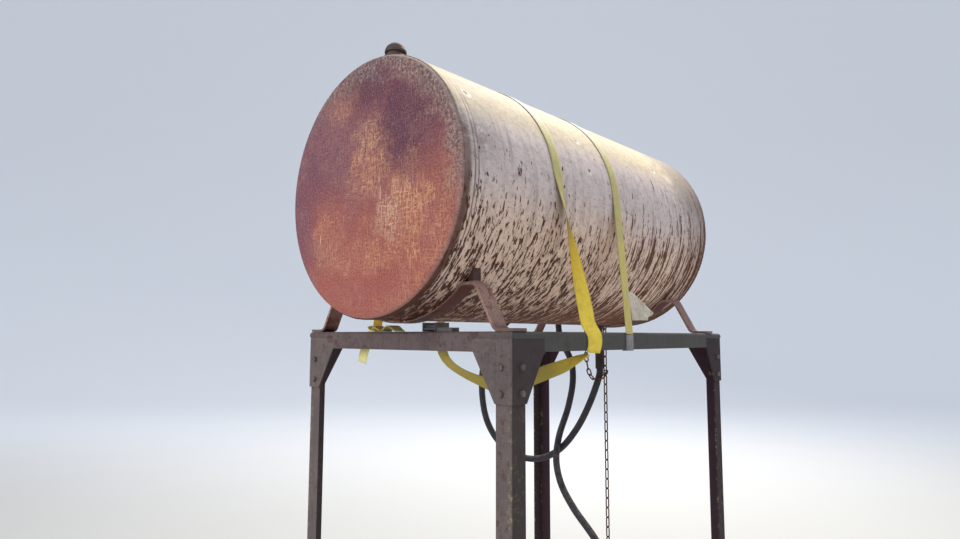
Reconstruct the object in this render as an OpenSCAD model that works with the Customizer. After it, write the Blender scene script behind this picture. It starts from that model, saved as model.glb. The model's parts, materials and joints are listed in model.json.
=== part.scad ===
// Overhead farm fuel tank: a horizontal steel cylinder held by two bent flat-bar saddles
// on a four-legged angle-iron stand. The X axis runs along the tank, front head at -X.
// The origin lies on the ground under the middle of the tank.

/* [Tank] */
// Outside diameter of the rolled shell
tank_d = 914.4; // [600:1:1220]
// Length of the tank over both heads
tank_len = 1740; // [1200:1:2400]
// Thickness of the shell plate
shell_wall = 3.4; // [2:0.1:8]
// Thickness of the head plate
head_wall = 4; // [3:0.1:8]
// Outer knuckle radius of the flanged head
head_knuckle = 12; // [8:0.5:30]
// Distance from the head's face to the end of the shell plate
head_setback = 18; // [14:0.5:40]
// Length of the head's flange inside the shell
head_flange = 38; // [25:1:80]
// Gap between the head's flange and the shell
head_gap = 0.3; // [0.2:0.1:1]

/* [Fill fitting] */
// Distance of the fill fitting from the front head
fill_inset = 120; // [80:1:400]
// Outside diameter of the welded fill bung
bung_d = 76; // [60:0.5:110]
// Height of the welded fill bung above the tank
bung_h = 24; // [15:0.5:50]
// Outside diameter of the fill pipe
fill_pipe_d = 60.3; // [48:0.1:90]
// Inside diameter of the fill pipe
fill_bore_d = 52.5; // [40:0.1:80]
// Height of the fill pipe's rim above the tank
fill_pipe_h = 62; // [50:0.5:120]
// Outside diameter of the vent cap's screwed collar
cap_collar_d = 94; // [80:0.5:130]
// Diameter of the vent cap's hood
cap_hood_d = 80; // [60:0.5:120]
// Height of the vent cap from its collar to its crown
cap_h = 68; // [50:0.5:120]

/* [Outlet] */
// Distance of the outlet from the middle of the rear saddle, towards the front
outlet_inset = 91; // [80:1:500]
// Outside diameter of the outlet pipe
outlet_pipe_d = 33.4; // [20:0.1:60]
// Inside diameter of the outlet pipe
outlet_bore_d = 26.6; // [12:0.1:50]
// Diameter of the pipe coupling below the outlet
coupling_d = 44; // [36:0.5:80]
// Height of the coupling
coupling_h = 58; // [40:0.5:100]

/* [Saddles] */
// Distance between the middles of the two saddles
saddle_span = 1382; // [700:1:1500]
// Width of the saddle bar
saddle_w = 63.5; // [40:0.5:120]
// Thickness of the saddle bar
saddle_t = 9.5; // [5:0.1:16]
// Half angle of the bar's cradle under the tank, in degrees
saddle_wrap = 40; // [30:0.5:42]
// Height of the bar's bends above the ends of its cradle
bend_lift = 13; // [8:0.5:20]
// Distance between the two corners of a bend
bend_flat = 62.5; // [50:0.5:90]
// Inside radius of the bar's rounded corners
saddle_bend = 22; // [12:0.5:26]
// Distance of the corner over the rail from the stand's outer face
foot_back = 76; // [66:0.5:100]
// Clearance between the bar and the tank
saddle_gap = 0.3; // [0.2:0.1:2]
// Width of the lug between the bend and the tank
lug_w = 36; // [25:0.5:63]
// Thickness of the lug
lug_t = 20; // [10:0.5:30]
// Distance of the lug's middle from the bend's outer corner
lug_inset = 30; // [20:0.5:40]
// Height that the lug is cut from before it is fitted to the tank
lug_h = 60; // [50:1:90]

/* [Stand] */
// Length of the stand over its rails
stand_len = 1540; // [1000:1:2200]
// Width of the stand over its rails
stand_w = 1061; // [950:1:1400]
// Height of the rails' top above the ground
stand_h = 1524; // [900:1:2400]
// Distance of the stand's middle from the tank's middle, towards the rear
stand_shift = 39; // [-100:1:100]
// Leg width of the rail angles
rail_leg = 63.5; // [50:0.5:90]
// Thickness of the rail angles
rail_t = 6.35; // [4:0.05:10]
// Outer radius of the rails' folded edge
rail_heel = 12; // [8:0.5:20]
// Width of each leg angle
leg_w = 63.5; // [50:0.5:90]
// Thickness of the leg angles
leg_t = 6.35; // [4:0.05:10]
// Gap between the tank and the level of the rails' top
tank_rise = 39.2; // [20:0.1:80]
// Size of the square foot plates
foot_size = 100; // [80:1:160]
// Thickness of the foot plates
foot_t = 8; // [5:0.5:16]
// Diameter of the anchor hole in each foot plate
anchor_d = 14; // [8:0.5:24]
// Distance of the anchor hole from the foot's two outer edges
anchor_inset = 74; // [40:1:130]

/* [Corner gussets] */
// Width of the gusset plate under the rail
gusset_w = 160; // [110:1:260]
// Distance of the gusset's top edge below the rails' top
gusset_drop = 20; // [14:0.5:40]
// Distance of the gusset's bottom edge below the rails' top
gusset_reach = 218; // [150:1:320]
// Thickness of the gusset plate
gusset_t = 6.35; // [4:0.05:10]
// Outer fold radius of the gusset plate
gusset_fold = 9; // [7:0.5:16]
// Distance of the bolts from the stand's corner
bolt_inset = 44; // [30:0.5:60]
// Distance of the upper bolt below the rails' top
bolt_high = 108; // [80:1:140]
// Distance between the upper and the lower bolt
bolt_pitch = 78; // [40:1:100]
// Diameter of the bolts
bolt_d = 12.7; // [8:0.1:20]
// Diameter of the bolt holes
bolt_hole_d = 13.5; // [9:0.1:22]
// Width of the bolt heads and nuts across their flats
bolt_flats = 19; // [13:0.1:30]
// Height of the bolt heads
bolt_head_h = 8; // [5:0.1:14]
// Height of the nuts
nut_h = 10; // [6:0.1:16]
// Length of thread past the nut
bolt_end = 5; // [1:0.5:15]

/* [Straps] */
// Width of the tie-down webbing
strap_w = 50.8; // [25:0.1:100]
// Thickness of the tie-down webbing
strap_t = 2.4; // [1.5:0.1:5]
// Gap between the webbing and what it passes over
strap_gap = 0.5; // [0.5:0.1:2]
// Place of the front strap on the tank, from the middle
front_strap_x = -384; // [-500:1:-200]
// Distance that the front strap slants to the rear on its way down to the right rail
front_slant = 73; // [-100:1:100]
// Place of the rear strap on the tank, from the middle
rear_strap_x = 6; // [-120:1:120]
// Distance that the rear strap slants to the front on its way down to the right rail
rear_slant = 50; // [-100:1:100]
// Distance that the front strap's loop hangs below the rails' top
strap_drop = 71; // [66:1:100]
// Thickness of the flat hooks
hook_t = 4; // [3:0.1:8]
// Width of the ratchet's frame
ratchet_w = 62; // [54:0.5:80]
// Length of the ratchet's frame
ratchet_len = 66; // [60:0.5:120]
// Height of the ratchet's frame
ratchet_h = 30; // [24:0.5:50]

/* [Chain] */
// Thickness of the chain's wire
chain_wire = 6.4; // [4:0.1:9]
// Inside length of a chain link
chain_pitch = 46.9; // [36:0.1:60]
// Outside width of a chain link
chain_w = 23; // [20:0.1:34]
// Number of links that hang straight down
chain_links = 23; // [10:1:30]
// Distance of the chain's eye from the front edge of the rear saddle
chain_inset = 13; // [10:0.5:50]
// Thickness of the eyes that hold the chain
eye_wire = 8; // [5:0.1:10]

/* [Hose] */
// Outside diameter of the fuel hose
hose_d = 33; // [20:0.5:50]
// Diameter of the nozzle's body at its widest
nozzle_d = 42; // [30:0.5:60]
// Length of the nozzle's body
nozzle_len = 120; // [100:1:180]
// Outside diameter of the nozzle's spout
spout_d = 21; // [14:0.5:30]
// Length of the nozzle's spout
spout_len = 146; // [80:1:220]
// Width of the flat bar round the hand lever
guard_t = 16; // [8:0.5:24]
// Width of the hand lever
lever_t = 10; // [4:0.5:16]

/* [Hidden] */

// Distance of the outlet from the middle of the tank, towards the rear
outlet_x = saddle_span / 2 - outlet_inset;

rust = "#8c4a33";
old_paint = "#a8988c";
stand_grey = "#6b6460";
stand_dark = "#4d4843";
webbing = "#d9c73c";
black = "#2c2629";
grey = "#8a8a88";

// Overlap of cutting shapes past a face, and clearance between pieces that nearly touch
cut = 1;
seat = 0.3;
// Smoothness of large rolled surfaces and of small round ones
big_fn = 180;
fine_fn = 48;

tank_r = tank_d / 2;
axis_z = stand_h + tank_rise + tank_r;
half_len = tank_len / 2;
shell_end = half_len - head_setback;
head_r = tank_r - shell_wall - head_gap;
fill_x = -half_len + fill_inset;
top_z = axis_z + tank_r;
bottom_z = axis_z - tank_r;

// Corners of the stand: sign of X, sign of Y
front = -1;
rear = 1;
left = 1;
right = -1;

// Outer faces of the stand, seen from its own middle
half_l = stand_len / 2;
half_w = stand_w / 2;
leg_top = stand_h - rail_t;

// Upper face of the saddle bar: radius and end of its cradle, corners of its bend and foot
seat_r = tank_r + saddle_gap;
cradle_end = seat_r * [sin(saddle_wrap), -cos(saddle_wrap)] + [0, axis_z];
bend_z = cradle_end[1] + bend_lift;
bend_in = cradle_end[0] + bend_lift / tan(saddle_wrap);
bend_out = bend_in + bend_flat;
foot_y = half_w - foot_back;
foot_z = stand_h + seat + saddle_t;

// Places one corner piece: sx and sy are the signs of the corner
module at_corner(sx, sy) {
    translate([stand_shift, 0, 0])
        mirror([sx < 0 ? 0 : 1, 0, 0])
            mirror([0, sy < 0 ? 0 : 1, 0])
                translate([-half_l, -half_w, 0])
                    children();
}

// Tank

module tank_shell() {
    color(old_paint)
    difference() {
        translate([-shell_end, 0, axis_z])
            rotate([0, 90, 0])
                cylinder(h = 2 * shell_end, r = tank_r, $fn = big_fn);
        translate([-shell_end - cut, 0, axis_z])
            rotate([0, 90, 0])
                cylinder(h = 2 * (shell_end + cut), r = tank_r - shell_wall, $fn = big_fn);
        translate([fill_x, 0, axis_z])
            cylinder(h = tank_d, d = fill_pipe_d + 2 * seat, $fn = fine_fn);
        translate([outlet_x, 0, axis_z - tank_d])
            cylinder(h = tank_d, d = outlet_pipe_d + 2 * seat, $fn = fine_fn);
    }
}

// Half section of a flanged flat head, its face at zero and its flange towards +Y
module head_section() {
    inner = head_knuckle - head_wall;
    difference() {
        union() {
            square([head_r - head_knuckle, head_wall]);
            translate([head_r - head_wall, head_knuckle])
                square([head_wall, head_setback + head_flange - head_knuckle]);
            translate([head_r - head_knuckle, head_knuckle])
                intersection() {
                    circle(r = head_knuckle, $fn = fine_fn);
                    translate([0, -head_knuckle])
                        square(head_knuckle);
                }
        }
        translate([head_r - head_knuckle, head_knuckle])
            circle(r = inner, $fn = fine_fn);
    }
}

module head(side) {
    color(rust)
    translate([side * half_len, 0, axis_z])
        rotate([0, -side * 90, 0])
            rotate_extrude($fn = big_fn)
                head_section();
}

module front_head() {
    head(front);
}

module rear_head() {
    head(rear);
}

// Fill fitting and vent cap

module fill_neck() {
    color(rust)
    difference() {
        union() {
            translate([fill_x, 0, top_z - bung_h])
                cylinder(h = 2 * bung_h, d = bung_d, $fn = fine_fn);
            translate([fill_x, 0, top_z - bung_h])
                cylinder(h = bung_h + fill_pipe_h, d = fill_pipe_d, $fn = fine_fn);
        }
        difference() {
            translate([fill_x, 0, axis_z])
                rotate([0, 90, 0])
                    cylinder(h = 2 * tank_d, r = tank_r + seat, center = true, $fn = big_fn);
            translate([fill_x, 0, axis_z])
                cylinder(h = tank_d, d = fill_pipe_d, $fn = fine_fn);
        }
        translate([fill_x, 0, top_z - tank_r])
            cylinder(h = tank_d, d = fill_bore_d, $fn = fine_fn);
    }
}

// Half section of the vent cap: screwed collar, waist with the vent gap, and hooded crown
module cap_section() {
    collar_r = cap_collar_d / 2;
    hood_r = cap_hood_d / 2;
    waist_r = fill_pipe_d / 2 + 3;
    bore_r = fill_pipe_d / 2 + seat;
    collar_h = 0.26 * cap_h;
    hood_z = 0.46 * cap_h;
    skirt_h = 0.12 * cap_h;
    crown_r = 0.3 * hood_r;
    polygon([
        [bore_r, 0], [collar_r - 4, 0], [collar_r, 4], [collar_r, collar_h - 4], [collar_r - 5, collar_h],
        [waist_r, collar_h + 3], [waist_r, hood_z + 4], [hood_r - 5, hood_z + 4], [hood_r - 3, hood_z],
        [hood_r, hood_z], [hood_r, hood_z + skirt_h], [0.84 * hood_r, 0.8 * cap_h],
        [0.55 * hood_r, 0.95 * cap_h], [crown_r, cap_h], [0, cap_h], [0, 0.8 * cap_h],
        [0.6 * hood_r, 0.62 * cap_h], [bore_r, 0.62 * cap_h]
    ]);
}

module vent_cap() {
    color(stand_dark)
    translate([fill_x, 0, top_z + bung_h + seat])
        rotate_extrude($fn = fine_fn)
            cap_section();
}

// Outlet under the tank

module outlet_neck() {
    neck_low = bottom_z - 92;
    color(stand_dark)
    difference() {
        union() {
            translate([outlet_x, 0, neck_low])
                cylinder(h = bottom_z - neck_low + 12, d = outlet_pipe_d, $fn = fine_fn);
            intersection() {
                translate([outlet_x, 0, bottom_z - 14])
                    cylinder(h = 26, d = coupling_d + 4, $fn = fine_fn);
                difference() {
                    translate([outlet_x, 0, bottom_z])
                        cube([2 * coupling_d, 2 * coupling_d, 60], center = true);
                    translate([outlet_x, 0, axis_z])
                        rotate([0, 90, 0])
                            cylinder(h = 3 * coupling_d, r = tank_r + seat, center = true, $fn = big_fn);
                }
            }
        }
        translate([outlet_x, 0, neck_low - cut])
            cylinder(h = 2 * tank_d, d = outlet_bore_d, $fn = fine_fn);
    }
}

neck_end = bottom_z - 92;
coupling_top = neck_end + 16;
coupling_low = coupling_top - coupling_h;
hose_top = coupling_low - 80;

module hose_coupling() {
    color(black)
    difference() {
        union() {
            translate([outlet_x, 0, coupling_low])
                cylinder(h = coupling_h, d = coupling_d, $fn = 6);
            translate([outlet_x, 0, hose_top])
                cylinder(h = coupling_low - hose_top, d = hose_d + 9, $fn = fine_fn);
        }
        translate([outlet_x, 0, neck_end - seat])
            cylinder(h = 2 * coupling_h, d = outlet_pipe_d + 2 * seat, $fn = fine_fn);
        translate([outlet_x, 0, hose_top + 12])
            cylinder(h = 4 * coupling_h, d = outlet_bore_d, $fn = fine_fn);
    }
}

// Saddles

// Mirrored and reversed copy of a list of points
function other_side(list) = [for (i = [len(list) - 1 : -1 : 0]) [-list[i][0], list[i][1]]];
function backwards(list) = [for (i = [len(list) - 1 : -1 : 0]) list[i]];
function aim(a, b) = (b - a) / norm(b - a);
function left_of(d) = [-d[1], d[0]];

// Corner at b of the bar's lower face, where its upper face turns from a to c
function below(a, b, c) =
    let (n1 = left_of(aim(a, b)), n2 = left_of(aim(b, c)))
    b - saddle_t * (n1 + n2) / (1 + n1 * n2);

// Points of an arc of radius r that rounds the corner at b
function rounded(a, b, c, r) =
    let (d1 = aim(a, b), d2 = aim(b, c), s = sign(d1[0] * d2[1] - d1[1] * d2[0]), turn = acos(d1 * d2))
    let (n = s * left_of(d1), centre = b - r * tan(turn / 2) * d1 + r * n)
    [for (i = [0 : 8])
        let (w = s * turn * i / 8)
        centre - r * [n[0] * cos(w) - n[1] * sin(w), n[0] * sin(w) + n[1] * cos(w)]];

// Outline of the saddle bar in the YZ plane: cradle, bends, legs and feet on the side rails
module saddle_outline() {
    wrap = [for (i = [0 : 20]) i * saddle_wrap / 20];
    low_r = seat_r + saddle_t;
    low_arc = [for (a = wrap) [low_r * sin(a), axis_z - low_r * cos(a)]];
    top_arc = [for (a = wrap) [seat_r * sin(a), axis_z - seat_r * cos(a)]];
    a = [bend_in, bend_z];
    b = [bend_out, bend_z];
    c = [foot_y, foot_z];
    toe = [half_w - 1, foot_z];
    low_end = low_arc[20];
    low_a = below(cradle_end, a, b);
    low_b = below(a, b, c);
    low_c = below(b, c, toe);
    low_toe = toe - [0, saddle_t];
    wide = saddle_bend + saddle_t;
    lower = concat(low_arc, rounded(low_end, low_a, low_b, saddle_bend), rounded(low_a, low_b, low_c, saddle_bend),
        rounded(low_b, low_c, low_toe, wide), [low_toe]);
    upper = concat([toe], backwards(rounded(b, c, toe, saddle_bend)), backwards(rounded(a, b, c, wide)),
        backwards(rounded(cradle_end, a, b, wide)), backwards(top_arc));
    polygon(concat(lower, upper, [for (i = [1 : len(upper) - 1]) other_side(upper)[i]],
        [for (i = [0 : len(lower) - 2]) other_side(lower)[i]]));
}

module saddle(side) {
    color(stand_grey)
    translate([side * saddle_span / 2, 0, 0])
        rotate([90, 0, 90])
            linear_extrude(height = saddle_w, center = true)
                saddle_outline();
}

module front_saddle() {
    saddle(front);
}

module rear_saddle() {
    saddle(rear);
}

// Lugs between the front saddle's bends and the tank
module front_lugs() {
    lug_y = bend_out - lug_inset;
    color(stand_dark)
    for (s = [left, right])
        difference() {
            translate([-saddle_span / 2 - lug_w / 2, s * lug_y - lug_t / 2, bend_z + seat])
                cube([lug_w, lug_t, lug_h]);
            translate([-saddle_span / 2, 0, axis_z])
                rotate([0, 90, 0])
                    cylinder(h = 2 * saddle_w, r = tank_r + seat, center = true, $fn = big_fn);
        }
}

// Stand

// Section of a rail: the flange towards +X lies on top, the other hangs down from the outer edge
module rail_section() {
    difference() {
        union() {
            translate([rail_heel, -rail_t])
                square([rail_leg - rail_heel, rail_t]);
            translate([0, -rail_leg])
                square([rail_t, rail_leg - rail_heel]);
            translate([rail_heel, -rail_heel])
                intersection() {
                    circle(r = rail_heel, $fn = fine_fn);
                    translate([-rail_heel, 0])
                        square(rail_heel);
                }
        }
        translate([rail_heel, -rail_heel])
            circle(r = rail_heel - rail_t, $fn = fine_fn);
    }
}

// A rail of the given length along X, its outer face at zero, mitred at both ends and
// cut away at its ends below the corner strip, where the gussets stand
module rail(length) {
    difference() {
        translate([0, 0, stand_h])
            rotate([90, 0, 90])
                linear_extrude(height = length)
                    rail_section();
        for (e = [0, 1])
            translate([e * length, 0, 0])
                mirror([e, 0, 0]) {
                    translate([-cut, -cut, stand_h - rail_leg - cut])
                        cube([gusset_w + cut, rail_t + 2 * cut, rail_leg - gusset_drop + cut]);
                    translate([0, 0, stand_h - rail_leg - cut])
                        linear_extrude(height = rail_leg + 2 * cut)
                            polygon([[-cut, -cut], [rail_leg + cut, rail_leg + cut], [-cut, rail_leg + cut]]);
                }
    }
}

module front_rail() {
    color(stand_grey)
    translate([stand_shift - half_l, half_w, 0])
        rotate([0, 0, -90])
            rail(stand_w);
}

module rear_rail() {
    color(stand_grey)
    translate([stand_shift + half_l, -half_w, 0])
        rotate([0, 0, 90])
            rail(stand_w);
}

module right_rail() {
    color(stand_dark)
    translate([stand_shift - half_l, -half_w, 0])
        rail(stand_len);
}

module left_rail() {
    color(stand_dark)
    translate([stand_shift + half_l, half_w, 0])
        rotate([0, 0, 180])
            rail(stand_len);
}

// Plan of an angle with its heel at the origin
module angle_plan(width, thickness, heel) {
    difference() {
        union() {
            translate([heel, 0])
                square([width - heel, thickness]);
            translate([0, heel])
                square([thickness, width - heel]);
            translate([heel, heel])
                intersection() {
                    circle(r = heel, $fn = fine_fn);
                    translate([-heel, -heel])
                        square(heel);
                }
        }
        translate([heel, heel])
            circle(r = heel - thickness, $fn = fine_fn);
    }
}

// Cuts the bolt holes of one corner through both plates
module corner_holes() {
    for (z = [stand_h - bolt_high, stand_h - bolt_high - bolt_pitch]) {
        translate([-cut, bolt_inset, z])
            rotate([0, 90, 0])
                cylinder(h = gusset_t + leg_t + 3 * cut, d = bolt_hole_d, $fn = fine_fn);
        translate([bolt_inset, -cut, z])
            rotate([-90, 0, 0])
                cylinder(h = gusset_t + leg_t + 3 * cut, d = bolt_hole_d, $fn = fine_fn);
    }
}

// Outline of one wing of the gusset, drawn in X and height
module gusset_cut() {
    polygon([
        [gusset_w + cut, stand_h - rail_leg], [gusset_w, stand_h - rail_leg],
        [leg_w + gusset_t, stand_h - gusset_reach - cut / 10], [gusset_w + cut, stand_h - gusset_reach - cut]
    ]);
}

module gusset(sx, sy) {
    color(stand_grey)
    at_corner(sx, sy)
        difference() {
            translate([0, 0, stand_h - gusset_reach])
                linear_extrude(height = gusset_reach - gusset_drop)
                    angle_plan(gusset_w, gusset_t, gusset_fold);
            translate([0, gusset_t + cut, 0])
                rotate([90, 0, 0])
                    linear_extrude(height = gusset_t + 2 * cut)
                        gusset_cut();
            mirror([1, -1, 0])
                translate([0, gusset_t + cut, 0])
                    rotate([90, 0, 0])
                        linear_extrude(height = gusset_t + 2 * cut)
                            gusset_cut();
            corner_holes();
        }
}

module leg(sx, sy) {
    color(stand_grey)
    at_corner(sx, sy)
        difference() {
            translate([gusset_t, gusset_t, foot_t])
                linear_extrude(height = leg_top - foot_t)
                    angle_plan(leg_w, leg_t, leg_t);
            corner_holes();
        }
}

module foot(sx, sy) {
    color(stand_grey)
    at_corner(sx, sy)
        difference() {
            translate([gusset_t, gusset_t, 0])
                cube([foot_size, foot_size, foot_t]);
            translate([gusset_t + anchor_inset, gusset_t + anchor_inset, -cut])
                cylinder(h = foot_t + 2 * cut, d = anchor_d, $fn = fine_fn);
        }
}

// A bolt with its head towards -Z at the plate's outer face and its nut inside
module corner_bolt() {
    across = bolt_flats / cos(30);
    grip = gusset_t + leg_t;
    translate([0, 0, -bolt_head_h])
        cylinder(h = bolt_head_h, d = across, $fn = 6);
    translate([0, 0, -bolt_head_h])
        cylinder(h = bolt_head_h + grip + nut_h + bolt_end, d = bolt_d, $fn = fine_fn);
    translate([0, 0, grip])
        cylinder(h = nut_h, d = across, $fn = 6);
}

module bolts(sx, sy) {
    color(stand_dark)
    at_corner(sx, sy)
        for (z = [stand_h - bolt_high, stand_h - bolt_high - bolt_pitch]) {
            translate([0, bolt_inset, z])
                rotate([0, 90, 0])
                    corner_bolt();
            translate([bolt_inset, 0, z])
                rotate([-90, 0, 0])
                    corner_bolt();
        }
}

// Straps

function unit(v) = v / norm(v);
function route_dir(path, i) =
    i == 0 ? unit(path[1] - path[0]) :
    i == len(path) - 1 ? unit(path[i] - path[i - 1]) :
    unit(unit(path[i] - path[i - 1]) + unit(path[i + 1] - path[i]));

// Webbing along a path; wides holds the direction of its width at each point
module ribbon(path, wides) {
    last = len(path) - 1;
    points = [for (i = [0 : last])
        let (side = strap_w / 2 * unit(wides[i]), n = strap_t / 2 * unit(cross(route_dir(path, i), side)))
        for (c = [side + n, n - side, -side - n, side - n])
            path[i] + c];
    walls = [for (i = [0 : last - 1]) for (k = [0 : 3])
        let (a = 4 * i + k, b = 4 * i + (k + 1) % 4)
        for (t = [[a, a + 4, b + 4], [a, b + 4, b]])
        t];
    polyhedron(points = points, faces = concat(walls, [[0, 1, 2, 3], [for (k = [3 : -1 : 0]) 4 * last + k]]));
}

// Radius of the webbing's middle over the tank, and its distance from the stand's middle plane at the rails
strap_r = tank_r + strap_gap + strap_t / 2;
strap_y = half_w + strap_gap + strap_t / 2;
// Angle from the tank's top at which webbing to a rail leaves the tank
rail_rise = axis_z - stand_h;
leave = 180 - atan2(strap_y, rail_rise) - acos(strap_r / norm([strap_y, rail_rise]));

// Webbing over the tank at x, from the left rail to where it leaves the tank on the right
function over_tank(x) = concat(
    [[x, strap_y, stand_h - rail_leg + 4], [x, strap_y, stand_h - 6]],
    [for (i = [-20 : 20])
        [x, -strap_r * sin(i * leave / 20), axis_z + strap_r * cos(i * leave / 20)]]
);
across = [1, 0, 0];

// Free run from the tank to the right rail, as steps between 0 and 1
function free_run(x, slant, f) =
    let (top = [x, -strap_r * sin(leave), axis_z + strap_r * cos(leave)])
    let (low = [x + slant, -strap_y - 1, stand_h - 6])
    top + f * (low - top);

module front_strap() {
    // The webbing turns over once on its way down, and faces forward at the rail
    steps = [0.06 : 0.08 : 0.94];
    turn = [for (f = steps) f < 0.3 ? 38 * f / 0.3 : min(132, 38 + 150 * (f - 0.3))];
    color(webbing)
    ribbon(
        concat(over_tank(front_strap_x), [for (f = steps) free_run(front_strap_x, front_slant, f)], [
            [front_strap_x + front_slant, -strap_y - 18, stand_h - 12],
            [front_strap_x + front_slant + 1, -strap_y - 18, stand_h - 44],
            [front_strap_x + front_slant + 1, -strap_y - 11, stand_h - strap_drop]
        ]),
        concat([for (i = [1 : 43]) across], [for (a = turn) [cos(a), sin(a), 0]], [
            [cos(138), sin(138), 0], [cos(145), sin(145), 0], [cos(150), sin(150), 0]
        ])
    );
}

module rear_strap() {
    color(webbing)
    ribbon(
        concat(over_tank(rear_strap_x), [free_run(rear_strap_x, rear_slant * -1, 1)]),
        [for (i = [1 : 44]) across]
    );
}

// Flat hooks over the side rails: two on the left rail and the rear strap's on the right rail
module strap_hooks() {
    color(grey)
    for (h = [[front_strap_x, left, 2 * strap_gap + strap_t], [rear_strap_x, left, 2 * strap_gap + strap_t],
              [rear_strap_x - rear_slant, right, seat]])
        translate([h[0], h[1] * (half_w + h[2]), 0])
            mirror([0, h[1] < 0 ? 1 : 0, 0])
                rotate([90, 0, 90])
                    linear_extrude(height = strap_w, center = true)
                        polygon([
                            [0, stand_h - 8 - seat], [hook_t, stand_h - 8 - seat],
                            [hook_t, stand_h - rail_leg - seat - hook_t],
                            [-14 - h[2], stand_h - rail_leg - seat - hook_t],
                            [-14 - h[2], stand_h - rail_leg - seat], [0, stand_h - rail_leg - seat]
                        ]);
}

// Place of the ratchet on the front rail
ratchet_x = stand_shift - half_l + 4;
ratchet_y = -165;
ratchet_z = stand_h + seat;

// Slack end of the front strap: from the right rail under the stand to the ratchet
module strap_tail() {
    x = front_strap_x + front_slant;
    z = stand_h - strap_drop;
    color(webbing)
    ribbon(
        [[x - 2, -524, z - 6], [-340, -500, z - 21], [-372, -466, z - 44], [-406, -430, z - 62],
         [-437, -398, z - 79], [-470, -362, z - 98], [-505, -324, z - 110], [-540, -287, z - 108],
         [-575, -250, z - 92], [-610, -213, z - 67], [-636, -182, z - 38], [-652, -165, z - 8],
         [-658, -158, z + 30], [-662.5, -155, stand_h - 12], [-663, -155, stand_h + 6],
         [-668, -155, stand_h + 12], [-676, -155, stand_h + 12]],
        [[0.3, 0.4, 0.85], [0.3, 0.4, 0.85], [0.25, 0.3, 0.92], [0.2, 0.2, 0.95],
         [0.15, 0.15, 0.97], [0.15, 0.1, 0.97], [0.1, 0.1, 0.97], [-0.1, -0.1, 0.95],
         [-0.3, -0.2, 0.85], [-0.35, -0.5, 0.7], [-0.25, -0.8, 0.5], [-0.1, -0.95, 0.2],
         [0, -1, 0], [0, -1, 0], [0, -1, 0], [0, -1, 0], [0, -1, 0]]
    );
}

// Ratchet on the front rail: two side plates, the slotted drum and a cross bar
module ratchet() {
    plate_t = 3;
    color(grey)
    translate([ratchet_x, ratchet_y, ratchet_z])
        union() {
            for (s = [0, 1])
                translate([0, -ratchet_w / 2 + s * (ratchet_w - plate_t), 0])
                    cube([ratchet_len, plate_t, ratchet_h]);
            translate([ratchet_len * 0.3, 0, ratchet_h * 0.55])
                rotate([90, 0, 0])
                    cylinder(h = ratchet_w, d = 17, center = true, $fn = fine_fn);
            translate([ratchet_len * 0.12, 0, ratchet_h * 0.3])
                rotate([90, 0, 0])
                    cylinder(h = ratchet_w, d = 8, center = true, $fn = fine_fn);
        }
}

module ratchet_handle() {
    color(grey)
    translate([ratchet_x, ratchet_y - ratchet_w / 2 - seat, ratchet_z])
        union() {
            translate([6, -72, 0])
                cube([34, 72, 3]);
            translate([6, -72, 0])
                cube([3, 72, 13]);
            translate([37, -72, 0])
                cube([3, 72, 13]);
        }
}

// Spare webbing: wound round the front rail, with a short end that hangs down
module strap_bundle() {
    in_x = stand_shift - half_l + rail_leg + seat;
    color(webbing) {
        ribbon(
            [[in_x + 1.5, 235, stand_h - 112], [in_x + 1.5, 228, stand_h - 78], [in_x + 1.5, 214, stand_h - 30],
             [in_x + 1.5, 207, stand_h - 6], [in_x + 1.5, 206, stand_h + 3], [in_x - 7, 200, stand_h + 11],
             [in_x - 22, 184, stand_h + 18], [in_x - 24, 160, stand_h + 22], [in_x - 24, 136, stand_h + 17],
             [in_x - 24, 112, stand_h + 5], [in_x - 24, 100, stand_h + 2]],
            [[0, 1, 0.2], [0, 1, 0.25], [0, 1, 0.3], [0, 1, 0.2], [0.1, 1, 0], [0.5, 0.8, 0],
             [0.9, 0.4, 0], [1, 0.1, 0], [1, 0, 0], [1, 0, 0], [1, 0, 0]]
        );
        ribbon(
            [[in_x - 27, 92, stand_h + 2], [in_x - 27, 84, stand_h + 12], [in_x - 27, 68, stand_h + 21],
             [in_x - 27, 50, stand_h + 20], [in_x - 27, 34, stand_h + 10], [in_x - 27, 20, stand_h + 2]],
            [for (i = [1 : 6]) [1, 0, 0]]
        );
    }
}

// Chain

chain_x = saddle_span / 2 - saddle_w / 2 + chain_inset;
chain_y = 13;
sling_y = 133;
chain_step = chain_pitch - seat;
eye_r = 11;
// Height of the bar's lower face over the chain, and of the eyes' rods where the chain hangs
bar_low = axis_z - seat_r - saddle_t;
eye_low = bar_low - eye_r;
sling_low = axis_z - sqrt(pow(seat_r + saddle_t, 2) - sling_y * sling_y) - eye_r;
chain_top = eye_low - chain_pitch / 2 + eye_wire / 2 + seat;

// Route of the sling: from its eye down round the front of the hose to the straight chain
sling_shape = [
    [72, 133, -6], [64, 125, -62], [53, 114, -114], [37, 98, -157], [12, 72, -191],
    [-17, 43, -215], [-38, 5, -224], [-35, -26, -220], [0, -31, -204], [53, -4, -186]
];
sling_route = concat(
    [[chain_x, sling_y, sling_low + eye_wire / 2 + seat]],
    [for (p = sling_shape) [outlet_x, 0, stand_h] + p]
);
sling_links = 10;

function path_len(path, i = 0) =
    i == len(path) - 1 ? 0 : norm(path[i + 1] - path[i]) + path_len(path, i + 1);
function along(path, s, i = 0) =
    let (d = norm(path[i + 1] - path[i]))
    s <= d || i == len(path) - 2 ? path[i] + s / d * (path[i + 1] - path[i]) : along(path, s - d, i + 1);
// The part of a direction that is square to u
function square_to(v, u) = unit(v - (v * u) * u);

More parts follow.
